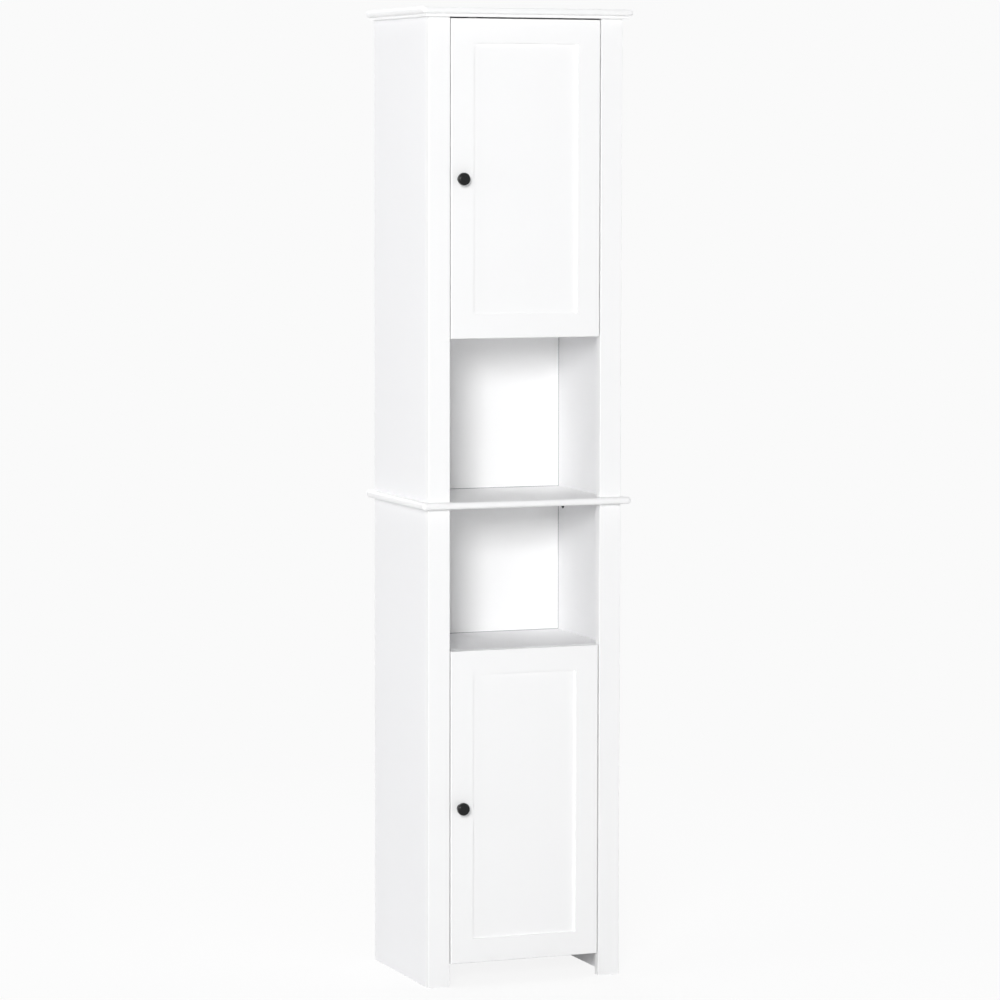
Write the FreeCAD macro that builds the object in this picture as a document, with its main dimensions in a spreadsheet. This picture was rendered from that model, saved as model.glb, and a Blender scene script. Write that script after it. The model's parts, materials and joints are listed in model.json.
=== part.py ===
import FreeCAD, Part

import os
import re

import Sketcher

# A tall bathroom cabinet: two door cupboards and two open niches, on a plain carcass.
# Frame: +X right, -Y front, +Z up, origin at the bottom centre of the whole cabinet. Millimetres.

Vector = FreeCAD.Vector

# Driving dimensions: name, value, meaning.
SIZES = (
    ("total_height", 1700.0, "floor to the top face"),
    ("body_width", 360.0, "across the outer faces of the side panels"),
    ("body_depth", 275.0, "front faces of the stiles to the rear edges"),
    ("board_overhang", 15.0, "top and middle boards past the body, front and sides"),
    ("edge_thick", 11.0, "rounded part of the top board"),
    ("step_thick", 5.0, "step under the rounded part"),
    ("step_inset", 7.0, "step set in from the rounded edge"),
    ("mid_thick", 12.0, "middle board"),
    ("edge_flat", 1.8, "flat left between the two rounds of a board's edge"),
    ("corner_extra", 0.6, "plan radius of the board corners over the edge radius"),
    ("side_thick", 15.0, "side panels"),
    ("stile_width", 39.5, "front stiles of the carcass"),
    ("stile_thick", 15.0, "front stiles of the carcass"),
    ("arris", 1.0, "eased front edges of the stiles and shelves"),
    ("seam", 0.5, "small bevel each side of the stile to side panel joint"),
    ("lower_side_height", 838.0, "floor to the underside of the middle board"),
    ("shelf_thick", 15.0, "fixed and loose shelves and the bottom board"),
    ("shelf_setback", 5.0, "fixed boards behind the rear faces of the doors"),
    ("back_thick", 3.0, "back panels"),
    ("back_recess", 22.0, "back panels in from the rear edges"),
    ("groove_depth", 5.0, "back panel grooves in the side panels"),
    ("groove_slack", 0.5, "back panel short of each groove's bottom"),
    ("back_slack", 0.5, "back panels short of the board above"),
    ("rail_thick", 15.0, "wall rail and base rail"),
    ("rail_height", 80.0, "wall rail and base rail"),
    ("wall_hole_spacing", 200.0, "between the two wall screw holes"),
    ("wall_hole_drop", 40.0, "wall screw holes below the top board"),
    ("wall_hole_radius", 2.75, "wall screw holes"),
    ("toe_height", 40.0, "floor to the lower door"),
    ("door_height", 549.5, "both doors"),
    ("door_thick", 15.0, "frame of the doors"),
    ("door_gap", 2.0, "each side of a door"),
    ("door_top_gap", 2.4, "upper door to the top board"),
    ("member_width", 42.0, "stiles and rails of the doors"),
    ("panel_thick", 6.0, "centre panels of the doors"),
    ("panel_inset", 4.0, "centre panels behind the front of the frame"),
    ("tongue", 8.0, "grooves and tongues of the door frames"),
    ("tongue_slack", 1.0, "centre panels short of the groove bottoms"),
    ("knob_inset", 18.0, "knob centre in from the free edge of the door"),
    ("knob_reach", 20.0, "knob in front of the door"),
    ("knob_foot_radius", 7.0, "foot of the knob"),
    ("knob_foot_thick", 2.0, "foot of the knob"),
    ("knob_neck_radius", 4.5, "neck of the knob"),
    ("knob_head_radius", 11.0, "head of the knob"),
    ("knob_head_thick", 9.0, "head of the knob"),
    ("knob_front_round", 3.4, "front edge of the head"),
    ("knob_rear_round", 1.6, "rear edge of the head"),
    ("knob_foot_round", 0.8, "front edge of the foot"),
    ("knob_thread", 12.0, "depth of the threaded hole in the knob"),
    ("machine_radius", 2.0, "machine screws of the knobs"),
    ("machine_head_radius", 3.9, "machine screws of the knobs"),
    ("machine_head_height", 2.4, "machine screws of the knobs"),
    ("pin_setback", 6.5, "hinge pin behind the front of the door"),
    ("pin_inset", 9.0, "hinge pin in from the hinged edge of the door"),
    ("pin_radius", 1.5, "hinge pin"),
    ("pin_length", 17.0, "hinge pin"),
    ("pin_play", 0.05, "running clearance round the hinge pin"),
    ("door_round", 1.5, "outer front edges of the doors"),
    ("hinge_inset", 75.0, "hinges in from the ends of the doors"),
    ("eye_radius", 3.2, "eye of the hinge arm"),
    ("strip_thick", 2.0, "steel strip of the hinge arm"),
    ("strip_height", 12.0, "steel strip of the hinge arm"),
    ("bend_round", 1.4, "outside of the bends in the hinge arm"),
    ("crank_reach", 15.0, "hinge pin back to the cross part of the arm"),
    ("arm_length", 50.0, "hinge pin back to the end of the arm"),
    ("arm_play", 0.6, "clearance round the arm in the cup and the door"),
    ("cup_radius", 13.0, "bore for the hinge cup"),
    ("cup_inset", 16.5, "cup centre in from the hinged edge"),
    ("cup_depth", 12.0, "bore for the hinge cup"),
    ("cup_rim", 2.4, "cup's rim round its dish"),
    ("pin_cover", 1.0, "casting between the hinge pin and the dish"),
    ("flange_thick", 1.0, "cup flange on the rear of the door"),
    ("flange_overlap", 1.4, "round flange past the bore"),
    ("flange_width", 13.0, "ears of the cup flange"),
    ("flange_end", 5.5, "ears past their screws"),
    ("ear_round", 4.0, "corners of the ears"),
    ("cup_screw_spacing", 38.0, "between the two screws of a cup"),
    ("batten_depth", 45.0, "hinge battens, front to rear"),
    ("batten_clear", 40.0, "hinge battens short of the boards at their ends"),
    ("arm_screw_first", 24.0, "hinge pin back to the first arm screw"),
    ("arm_screw_pitch", 16.0, "between the two screws of an arm"),
    ("screw_radius", 1.6, "wood screws"),
    ("screw_head_radius", 3.2, "wood screws"),
    ("screw_head_height", 1.4, "pan heads of the wood screws"),
    ("screw_length", 11.5, "wood screws under the head"),
    ("board_screw_radius", 2.0, "screws up through the middle board"),
    ("board_screw_head", 4.0, "screws up through the middle board"),
    ("board_screw_sink", 2.0, "heads let into the middle board"),
    ("board_screw_bite", 33.0, "screws in the upper side panels"),
    ("fit_play", 0.1, "round fasteners in their holes"),
    ("hole_slack", 0.5, "holes deeper than what they hold"),
    ("cam_radius", 7.5, "cam lock bores"),
    ("cam_depth", 12.0, "cam lock bores"),
    ("cam_setback", 20.0, "cam centres in from the end of the board"),
    ("cam_slot", 7.6, "opening in the cam for the bolt head"),
    ("cam_key_long", 8.0, "screwdriver slot in the cam"),
    ("cam_key_wide", 1.6, "screwdriver slot in the cam"),
    ("cam_key_deep", 1.5, "screwdriver slot in the cam"),
    ("joint_line", 7.5, "bolts and dowels behind the board face that takes the cams"),
    ("bolt_radius", 2.5, "cam bolts"),
    ("bolt_head_radius", 3.2, "cam bolts"),
    ("bolt_head_length", 4.0, "cam bolts"),
    ("bolt_seat", 9.0, "cam bolts in the board that they hold"),
    ("dowel_radius", 4.0, "wooden dowels"),
    ("dowel_shallow", 8.0, "dowels in the face of a board"),
    ("dowel_deep", 20.0, "dowels in the end of a board"),
    ("dowel_bevel", 0.8, "ends of the dowels"),
    ("joint_front", 50.0, "front fittings behind the front of the cabinet"),
    ("joint_middle", 140.0, "middle fittings behind the front of the cabinet"),
    ("joint_rear", 230.0, "rear fittings behind the front of the cabinet"),
    ("dowel_front", 80.0, "front dowels behind the front of the cabinet"),
    ("dowel_rear", 200.0, "rear dowels behind the front of the cabinet"),
    ("loose_front", 65.0, "loose shelves behind the front of the cabinet"),
    ("loose_slack", 1.0, "loose shelves short of the side panels and the back"),
    ("peg_front", 95.0, "front shelf pins behind the front of the cabinet"),
    ("peg_rear", 215.0, "rear shelf pins behind the front of the cabinet"),
    ("peg_radius", 2.5, "shelf pins"),
    ("peg_depth", 9.0, "shelf pin holes"),
    ("peg_reach", 8.0, "shelf pins out of the side panels"),
    ("peg_seat_width", 9.0, "flat seats of the shelf pins"),
    ("peg_start", 190.0, "lowest pin hole above the cupboard floor"),
    ("peg_pitch", 32.0, "between pin holes"),
    ("peg_rows", 5, "pin holes in a row"),
    ("peg_used", 2, "rows below the one in use"),
    ("catch_inset", 46.0, "catch centre in from the free edge of the door"),
    ("catch_width", 16.0, "magnetic catch"),
    ("catch_height", 16.0, "magnetic catch"),
    ("catch_round", 1.2, "corners of the catch's case"),
    ("catch_depth", 20.0, "magnetic catch's case"),
    ("catch_tail", 16.0, "screw tail of the catch"),
    ("catch_tail_thick", 3.0, "screw tail of the catch"),
    ("catch_gap", 0.4, "magnet poles to the strike plate"),
    ("pole_thick", 1.5, "steel pole strips of the catch"),
    ("pole_width", 11.0, "steel pole strips of the catch"),
    ("pole_proud", 0.8, "pole strips in front of the catch's case"),
    ("pole_depth", 14.0, "pole strips, front to rear"),
    ("magnet_thick", 5.0, "magnet between the pole strips"),
    ("strike_thick", 1.2, "strike plate on the door"),
    ("strike_width", 18.0, "strike plate on the door"),
    ("strike_height", 10.0, "strike plate on the door"),
    ("strike_round", 1.5, "corners of the strike plate"),
    ("strike_head_thick", 0.6, "flat head of the strike plate's screw"),
)

# Sizes that follow from the driving ones.
DERIVED = {
    "front_reach": "max(knob_reach; board_overhang)",
    "front_plane": "(front_reach - body_depth) / 2",
    "half_body": "body_width / 2",
    "inner_half": "body_width / 2 - side_thick",
    "inner_width": "body_width - 2 * side_thick",
    "opening_half": "body_width / 2 - stile_width",
    "side_depth": "body_depth - stile_thick",
    "board_width": "body_width + 2 * board_overhang",
    "board_depth": "body_depth + board_overhang",
    "mid_top": "lower_side_height + mid_thick",
    "top_underside": "total_height - edge_thick - step_thick",
    "upper_side_height": "top_underside - mid_top",
    "back_front": "body_depth - back_recess - back_thick",
    "fixed_front": "door_thick + shelf_setback",
    "fixed_depth": "back_front - fixed_front",
    "loose_depth": "back_front - loose_front - loose_slack",
    "door_width": "body_width - 2 * stile_width - 2 * door_gap",
    "upper_door_base": "top_underside - door_top_gap - door_height",
    "lower_door_top": "toe_height + door_height",
    "upper_floor": "upper_door_base + shelf_thick",
    "lower_floor": "toe_height + shelf_thick",
    "lower_ceiling": "lower_door_top - shelf_thick",
    "peg_level": "peg_start + peg_used * peg_pitch + peg_radius",
    "rail_length": "door_width - 2 * member_width",
    "pin_x": "opening_half - door_gap - pin_inset",
    "batten_face": "door_gap + pin_inset",
    "arm_width": "batten_face + eye_radius",
    "catch_x": "door_gap - opening_half + catch_inset",
    "pole_front": "door_thick + strike_thick + catch_gap",
    "case_front": "door_thick + strike_thick + catch_gap + pole_proud",
    "half_strip": "strip_height / 2",
    "half_slot": "strip_height / 2 + arm_play",
    "pin_offset": "cup_inset - pin_inset",
    "pin_rise": "pin_setback - door_thick + cup_depth",
    "flange_radius": "cup_radius + flange_overlap",
    "flange_length": "cup_screw_spacing + 2 * flange_end",
    "edge_radius": "(edge_thick - edge_flat) / 2",
    "mid_radius": "(mid_thick - edge_flat) / 2",
    "dowel_length": "dowel_shallow + dowel_deep",
    "back_width": "inner_width + 2 * (groove_depth - groove_slack)",
    "rail_front": "body_depth - rail_thick",
    "rail_dowel": "body_depth - rail_thick / 2",
    "catch_screw_place": "case_front + catch_depth + catch_tail / 2",
    "catch_screw_bite": "screw_length - catch_tail_thick + hole_slack",
    "stack_height": "magnet_thick + 2 * pole_thick",
    "door_left": "door_gap - opening_half",
    "door_right": "opening_half - door_gap",
}

doc = FreeCAD.newDocument("TallCabinet")
sheet = doc.addObject("Spreadsheet::Sheet", "Sizes")
for row, (name, number, meaning) in enumerate(SIZES, start=1):
    sheet.set(f"A{row}", name)
    sheet.set(f"B{row}", str(number))
    sheet.set(f"C{row}", meaning)
    sheet.setAlias(f"B{row}", name)
doc.recompute()

DRIVING = {name for name, number, meaning in SIZES}
NODES = []

# Coordinates closer than this are the same place.
SAME_PLACE = 1e-4


def formula(text):
    """A formula with each driving size as its cell and each derived size written out."""

    def cell(match):
        word = match.group()
        if word in DRIVING:
            return f"Sizes.{word}"
        if word in DERIVED:
            return f"({formula(DERIVED[word])})"
        return word

    return re.sub(r"[a-z][a-z_]*[a-z]", cell, text)


def value(text):
    """What a formula comes to now, in millimetres."""
    result = sheet.evalExpression(formula(text))
    return float(getattr(result, "Value", result))


def bind(thing, setting, text):
    thing.setExpression(setting, formula(text))


def place(thing, x="0", y="0", z="0"):
    for axis, text in (("x", x), ("y", y), ("z", z)):
        if text != "0":
            bind(thing, f"Placement.Base.{axis}", text)


def new_body(label, x="0", y="0", z="0", node=True):
    """A sub-part with its own frame. y is counted from the front plane of the doors."""
    body = doc.addObject("PartDesign::Body", label)
    body.Label = label
    place(body, x, f"front_plane + {y}", z)
    if node:
        NODES.append(body)
    return body


def new_sketch(body, plane, x="0", y="0", lift="0"):
    """A sketch on one of the body's own planes, moved along it and off it."""
    sketch = body.newObject("Sketcher::SketchObject", f"{body.Label}_sketch")
    support = [part for part in body.Origin.OriginFeatures if part.Role == plane][0]
    sketch.AttachmentSupport = (support, [""])
    sketch.MapMode = "FlatFace"
    for axis, text in (("x", x), ("y", y), ("z", lift)):
        if text != "0":
            bind(sketch, f"AttachmentOffset.Base.{axis}", text)
    return sketch


def measure(sketch, kind, places, text):
    """A dimension of the sketch, tied to its formula."""
    index = sketch.addConstraint(Sketcher.Constraint(kind, *places, value(text)))
    bind(sketch, f"Constraints[{index}]", text)


def pin_point(sketch, line, end, x, y):
    """Ties a point of the sketch to its place from the sketch's origin."""
    origin, flat_axis, upright_axis = (-1, 1), -1, -2
    if x == "0":
        sketch.addConstraint(Sketcher.Constraint("PointOnObject", line, end, upright_axis))
    else:
        measure(sketch, "DistanceX", (*origin, line, end), x)
    if y == "0":
        sketch.addConstraint(Sketcher.Constraint("PointOnObject", line, end, flat_axis))
    else:
        measure(sketch, "DistanceY", (*origin, line, end), y)


def outline(sketch, corners):
    """A closed outline through corners that are given as pairs of formulas."""
    points = [Vector(value(x), value(y), 0) for x, y in corners]
    lines = []
    for start, end in zip(points, points[1:] + points[:1]):
        lines.append(sketch.addGeometry(Part.LineSegment(start, end), False))
    for line, following in zip(lines, lines[1:] + lines[:1]):
        sketch.addConstraint(Sketcher.Constraint("Coincident", line, 2, following, 1))
    for line, (x, y) in zip(lines, corners):
        pin_point(sketch, line, 1, x, y)


def rectangle(sketch, wide, high):
    outline(sketch, (("0", "0"), (wide, "0"), (wide, high), ("0", high)))


def circle(sketch, radius, x="0", y="0"):
    centre = Vector(value(x), value(y), 0)
    ring = sketch.addGeometry(Part.Circle(centre, Vector(0, 0, 1), value(radius)), False)
    pin_point(sketch, ring, 3, x, y)
    measure(sketch, "Radius", (ring,), radius)


def pad(body, sketch, length, reverse=False):
    feature = body.newObject("PartDesign::Pad", f"{body.Label}_pad")
    feature.Profile = sketch
    feature.Reversed = reverse
    bind(feature, "Length", length)
    sketch.Visibility = False
    doc.recompute()
    return feature


def pocket(body, sketch, depth, reverse=False):
    """Cuts into the body against the sketch's normal, or along it where reverse is set."""
    before = body.Shape.Volume
    feature = body.newObject("PartDesign::Pocket", f"{body.Label}_pocket")
    feature.Profile = sketch
    feature.Reversed = reverse
    bind(feature, "Length", depth)
    sketch.Visibility = False
    doc.recompute()
    if not body.Shape.Volume < before:
        raise RuntimeError(f"a pocket of {body.Label} cuts nothing")
    return feature


def revolve(body, corners):
    """Turns an outline of (radius, height) corners about the body's Y axis."""
    sketch = new_sketch(body, "XY_Plane")
    outline(sketch, corners)
    feature = body.newObject("PartDesign::Revolution", f"{body.Label}_turning")
    feature.Profile = sketch
    feature.ReferenceAxis = (sketch, ["V_Axis"])
    feature.Angle = 360
    sketch.Visibility = False
    doc.recompute()
    return feature


def ease(body, radius, choose, kind="Fillet"):
    """Rounds or bevels the edges whose boxes the function chooses."""
    solid = body.Tip
    edges = [
        f"Edge{number}"
        for number, edge in enumerate(solid.Shape.Edges, start=1)
        if choose(edge.BoundBox)
    ]
    if not edges:
        raise RuntimeError(f"no edges of {body.Label} to ease")
    feature = body.newObject(f"PartDesign::{kind}", f"{body.Label}_edges")
    feature.Base = (solid, edges)
    bind(feature, "Radius" if kind == "Fillet" else "Size", radius)
    doc.recompute()
    return feature


def near(first, second):
    """Whether two coordinates are the same place."""
    return abs(first - second) < SAME_PLACE


def upright(box):
    """Whether an edge's box says that it stands along Z."""
    return near(box.XMin, box.XMax) and near(box.YMin, box.YMax)


def block(label, wide, deep, high, x, y, z):
    """A plain board or block from its lowest, leftmost, front corner."""
    body = new_body(label, x, y, z)
    sketch = new_sketch(body, "XY_Plane")
    rectangle(sketch, wide, deep)
    pad(body, sketch, high)
    return body


def holes(body, plane, places, radius, depth, lift="0", reverse=False):
    """A set of round holes of one size, from (first, second) places on a plane."""
    sketch = new_sketch(body, plane, lift=lift)
    for first, second in places:
        circle(sketch, radius, first, second)
    return pocket(body, sketch, depth, reverse)


def copies(label, pattern, placements):
    """A node of like solids: links to the pattern, each at its own (x, y, z, turn)."""
    links = []
    for x, y, z, turn in placements:
        link = doc.addObject("App::Link", f"{label}_copy")
        link.LinkedObject = pattern
        link.LinkTransform = False
        link.Placement = FreeCAD.Placement(Vector(), turn)
        place(link, x, f"front_plane + {y}", z)
        links.append(link)
    node = doc.addObject("Part::Compound", label)
    node.Label = label
    node.Links = links
    NODES.append(node)


# Directions for the fittings, which are drawn pointing along +Y with +Z up.
LEFT, RIGHT = Vector(-1, 0, 0), Vector(1, 0, 0)
UP, DOWN = Vector(0, 0, 1), Vector(0, 0, -1)
FRONT, BACK = Vector(0, -1, 0), Vector(0, 1, 0)


def aim(along, above=UP):
    """Turns a pattern's +Y to one direction and its +Z to another."""
    return FreeCAD.Rotation(along.cross(above), along, above, "YZX")


# Where the fittings between boards lie, behind the front plane.
BOLT_PLACES = ("joint_front", "joint_rear")
DOWEL_PLACES = ("dowel_front", "dowel_rear")
PEG_PLACES = ("peg_front", "peg_rear")

# Radii of the holes for round fasteners.
BOLT_HOLE = "bolt_radius + fit_play"
HEAD_HOLE = "bolt_head_radius + fit_play"
DOWEL_HOLE = "dowel_radius + fit_play"
SCREW_HOLE = "screw_radius + fit_play"
BOARD_SCREW_HOLE = "board_screw_radius + fit_play"

# The two hinges of a door above its lower edge, and the screws of an arm behind the pin.
PIN_HEIGHTS = ("hinge_inset", "door_height - hinge_inset")
ARM_SCREWS = ("arm_screw_first", "arm_screw_first + arm_screw_pitch")

# Each cupboard: name, lower edge of its door, board above it.
CUPBOARDS = (
    ("upper", "upper_door_base", "top_underside"),
    ("lower", "toe_height", "lower_ceiling"),
)
SIDES = (("left", False), ("right", True))


# ---------------------------------------------------------------- boards that stand out


def over_sides(places):
    """Places on an overhanging board above the fastening lines of both side panels."""
    left = "board_overhang + side_thick - joint_line"
    right = "board_width - board_overhang - side_thick + joint_line"
    return [(x, f"board_overhang + {y}") for x in (left, right) for y in places]


def edged_board(label, z, layers, radius):
    """A board whose front and side edges are rounded above and below."""
    body = new_body(label, "-board_width / 2", "-board_overhang", z)
    for inset, lift, thick in layers:
        sketch = new_sketch(body, "XY_Plane", inset, inset, lift)
        rectangle(sketch, f"board_width - 2 * {inset}", f"board_depth - {inset}")
        pad(body, sketch, thick)
    deep, wide = value("board_depth"), value("board_width")
    low, high = value(layers[-1][1]), value(f"{layers[-1][1]} + {layers[-1][2]}")

    def corner(box):
        return upright(box) and near(box.YMin, 0) and (near(box.XMin, 0) or near(box.XMin, wide))

    def rim(box):
        level = near(box.ZMin, box.ZMax) and (near(box.ZMin, low) or near(box.ZMin, high))
        rear = near(box.YMin, deep) and near(box.YMax, deep)
        outer = near(box.XMin, 0) or near(box.XMax, wide) or near(box.YMin, 0)
        return level and outer and not rear

    ease(body, f"{radius} + corner_extra", corner)
    ease(body, radius, rim)
    bolts = over_sides(BOLT_PLACES)
    holes(body, "XY_Plane", bolts, BOLT_HOLE, "bolt_seat", reverse=True)
    return body


top_board = edged_board(
    "top_board",
    "top_underside",
    (("step_inset", "0", "step_thick"), ("0", "step_thick", "edge_thick")),
    "edge_radius",
)
dowels = over_sides(DOWEL_PLACES)
holes(top_board, "XY_Plane", dowels, DOWEL_HOLE, "dowel_shallow", reverse=True)
catch_screw = [("board_width / 2 + catch_x", "board_overhang + catch_screw_place")]
holes(top_board, "XY_Plane", catch_screw, SCREW_HOLE, "catch_screw_bite", reverse=True)

mid_board = edged_board("mid_board", "lower_side_height", (("0", "0", "mid_thick"),), "mid_radius")
screws = over_sides(("joint_middle",))
holes(mid_board, "XY_Plane", screws, BOARD_SCREW_HOLE, "mid_thick", reverse=True)
heads = "board_screw_head + fit_play"
holes(mid_board, "XY_Plane", screws, heads, "board_screw_sink", reverse=True)
dowels = over_sides(("dowel_front",))
holes(mid_board, "XY_Plane", dowels, DOWEL_HOLE, "dowel_shallow", reverse=True)
dowels = over_sides(("dowel_rear",))
holes(mid_board, "XY_Plane", dowels, DOWEL_HOLE, "dowel_shallow", "mid_thick")


# ---------------------------------------------------------------- side panels and stiles


def side_panel(label, right, z, high, floor, board_lines, rail_line, top_dowels, foot_dowels):
    """A side panel behind its stile, bored for its boards, shelf pins and fittings.

    The lines are the heights of the fixed boards' bolts and of the rail's dowel.
    """
    x = "inner_half" if right else "-half_body"
    body = block(label, "side_thick", "side_depth", high, x, "stile_thick", z)
    outer = value("side_thick") if right else 0

    def seam_edge(box):
        return upright(box) and near(box.YMin, 0) and near(box.XMin, outer)

    ease(body, "seam", seam_edge, "Chamfer")
    inner = "0" if right else "side_thick"
    line = "joint_line" if right else "side_thick - joint_line"

    def bore(places, height, radius, depth):
        """Holes into the inner face, in a level row."""
        sketch = new_sketch(body, "YZ_Plane", "0", f"{height} - {z}", inner)
        for place_back in places:
            circle(sketch, radius, f"{place_back} - stile_thick")
        return sketch, pocket(body, sketch, depth, right)

    def end_bore(places, radius, depth, from_top):
        """Holes into the panel's upper or lower end."""
        centres = [(line, f"{place_back} - stile_thick") for place_back in places]
        holes(body, "XY_Plane", centres, radius, depth, high if from_top else "0", not from_top)

    groove = new_sketch(body, "YZ_Plane", "back_front - stile_thick", "0", inner)
    rectangle(groove, "back_thick", high)
    pocket(body, groove, "groove_depth", right)

    bore(BOLT_PLACES, f"{z} + {high} - cam_setback", "cam_radius", "cam_depth")
    end_bore(BOLT_PLACES, HEAD_HOLE, "cam_setback", True)
    end_bore(top_dowels, DOWEL_HOLE, "dowel_deep + hole_slack", True)
    if foot_dowels:
        end_bore(foot_dowels, DOWEL_HOLE, "dowel_deep + hole_slack", False)
        end_bore(("joint_middle",), BOARD_SCREW_HOLE, "board_screw_bite + hole_slack", False)
    for height in board_lines:
        bore(("joint_middle",), height, BOLT_HOLE, "bolt_seat")
        bore(DOWEL_PLACES, height, DOWEL_HOLE, "dowel_shallow")
    bore(("rail_dowel",), rail_line, DOWEL_HOLE, "dowel_shallow")

    row, first = bore(PEG_PLACES, f"{floor} + peg_start", "peg_radius + fit_play", "peg_depth")
    rows = body.newObject("PartDesign::LinearPattern", f"{label}_pin_holes")
    rows.Originals = [first]
    rows.Direction = (row, ["V_Axis"])
    bind(rows, "Length", "(peg_rows - 1) * peg_pitch")
    bind(rows, "Occurrences", "peg_rows")
    body.Tip = rows
    doc.recompute()


def front_stile(label, right, z, high):
    """A front stile of the carcass, its front edges eased and its seam bevelled."""
    x = "opening_half" if right else "-half_body"
    body = block(label, "stile_width", "stile_thick", high, x, "0", z)
    thick, outer = value("stile_thick"), value("stile_width") if right else 0

    def front(box):
        return upright(box) and near(box.YMin, 0)

    def seam_edge(box):
        return upright(box) and near(box.YMin, thick) and near(box.XMin, outer)

    ease(body, "arris", front)
    ease(body, "seam", seam_edge, "Chamfer")


for side, right in SIDES:
    side_panel(
        f"upper_side_{side}",
        right,
        "mid_top",
        "upper_side_height",
        "upper_floor",
        ("upper_floor - joint_line",),
        "top_underside - rail_height / 2",
        DOWEL_PLACES,
        ("dowel_rear",),
    )
    side_panel(
        f"lower_side_{side}",
        right,
        "0",
        "lower_side_height",
        "lower_floor",
        ("toe_height + joint_line", "lower_ceiling + joint_line"),
        "toe_height + rail_height / 2",
        ("dowel_front",),
        (),
    )
    front_stile(f"upper_stile_{side}", right, "mid_top", "upper_side_height")
    front_stile(f"lower_stile_{side}", right, "0", "lower_side_height")


# ---------------------------------------------------------------- boards between the sides


def end_holes(body, length, centres, radius, depth):
    """The same holes into both ends of a piece that lies along X."""
    for end, inward in (("0", True), (length, False)):
        holes(body, "YZ_Plane", centres, radius, depth, end, inward)


def fixed_board(label, z, cams_on_top):
    """A board between the side panels, dowelled and cam locked at both ends."""
    body = block(
        label, "inner_width", "fixed_depth", "shelf_thick", "-inner_half", "fixed_front", z
    )
    cam_back = "joint_middle - fixed_front"
    cams = [("cam_setback", cam_back), ("inner_width - cam_setback", cam_back)]
    face = "shelf_thick" if cams_on_top else "0"
    holes(body, "XY_Plane", cams, "cam_radius", "cam_depth", face, not cams_on_top)
    line = "shelf_thick - joint_line" if cams_on_top else "joint_line"
    end_holes(body, "inner_width", [(cam_back, line)], HEAD_HOLE, "cam_setback")
    pegs = [(f"{place_back} - fixed_front", line) for place_back in DOWEL_PLACES]
    end_holes(body, "inner_width", pegs, DOWEL_HOLE, "dowel_deep + hole_slack")
    return body


fixed_board("upper_fixed_shelf", "upper_door_base", True)
fixed_board("bottom_board", "toe_height", False)
lower_fixed_shelf = fixed_board("lower_fixed_shelf", "lower_ceiling", False)
catch_screw = [("inner_half + catch_x", "catch_screw_place - fixed_front")]
holes(lower_fixed_shelf, "XY_Plane", catch_screw, SCREW_HOLE, "catch_screw_bite", reverse=True)


def shelf_front(box):
    """The long edges at the front of a shelf."""
    return near(box.YMin, 0) and near(box.YMax, 0) and not upright(box)


for cupboard, door_base, ceiling in CUPBOARDS:
    shelf = block(
        f"{cupboard}_loose_shelf",
        "inner_width - 2 * loose_slack",
        "loose_depth",
        "shelf_thick",
        "loose_slack - inner_half",
        "loose_front",
        f"{cupboard}_floor + peg_level",
    )
    ease(shelf, "arris", shelf_front)


def back_panel(label, base, top):
    """A thin panel let into the side panels' grooves."""
    return block(
        label,
        "back_width",
        "back_thick",
        f"{top} - {base} - back_slack",
        "-back_width / 2",
        "back_front",
        base,
    )


def rail(label, base):
    """A rail between the side panels, flush with their rear edges."""
    body = block(
        label, "inner_width", "rail_thick", "rail_height", "-inner_half", "rail_front", base
    )
    dowel = [("rail_thick / 2", "rail_height / 2")]
    end_holes(body, "inner_width", dowel, DOWEL_HOLE, "dowel_deep + hole_slack")
    return body


def wall_holes(body, middle, height, thick):
    """The two wall screw holes, either side of a board's middle."""
    places = [(f"{middle} {sign} wall_hole_spacing / 2", height) for sign in "-+"]
    holes(body, "XZ_Plane", places, "wall_hole_radius", thick)


upper_back = back_panel("upper_back_panel", "mid_top", "top_underside")
wall_holes(upper_back, "back_width / 2", "upper_side_height - wall_hole_drop", "back_thick")
back_panel("lower_back_panel", "toe_height", "lower_side_height")
wall_rail = rail("wall_rail", "top_underside - rail_height")
wall_holes(wall_rail, "inner_half", "rail_height - wall_hole_drop", "rail_thick")
rail("base_rail", "toe_height")

for cupboard, door_base, ceiling in CUPBOARDS:
    base = f"{cupboard}_floor + batten_clear"
    batten = block(
        f"{cupboard}_hinge_batten",
        "stile_width - side_thick",
        "batten_depth",
        f"{ceiling} - batten_clear - ({base})",
        "opening_half",
        "stile_thick",
        base,
    )
    pilots = [
        (f"pin_setback + {screw_back} - stile_thick", f"{door_base} + {height} - ({base})")
        for screw_back in ARM_SCREWS
        for height in PIN_HEIGHTS
    ]
    bite = "screw_length - strip_thick + hole_slack"
    holes(batten, "YZ_Plane", pilots, SCREW_HOLE, bite, reverse=True)


# ---------------------------------------------------------------- patterns of the fittings


def fastener(label, head_radius, head_height, radius, length, pointed=True):
    """A round-shanked fastener drawn along +Y from the outside of its head."""
    body = new_body(label, node=False)
    end = f"{head_height} + {length}"
    tip = (radius, f"{end} - {radius}") if pointed else (radius, end)
    corners = (
        ("0", "0"),
        (head_radius, "0"),
        (head_radius, head_height),
        (radius, head_height),
        tip,
        ("0", end),
    )
    revolve(body, corners)
    return body


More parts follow.
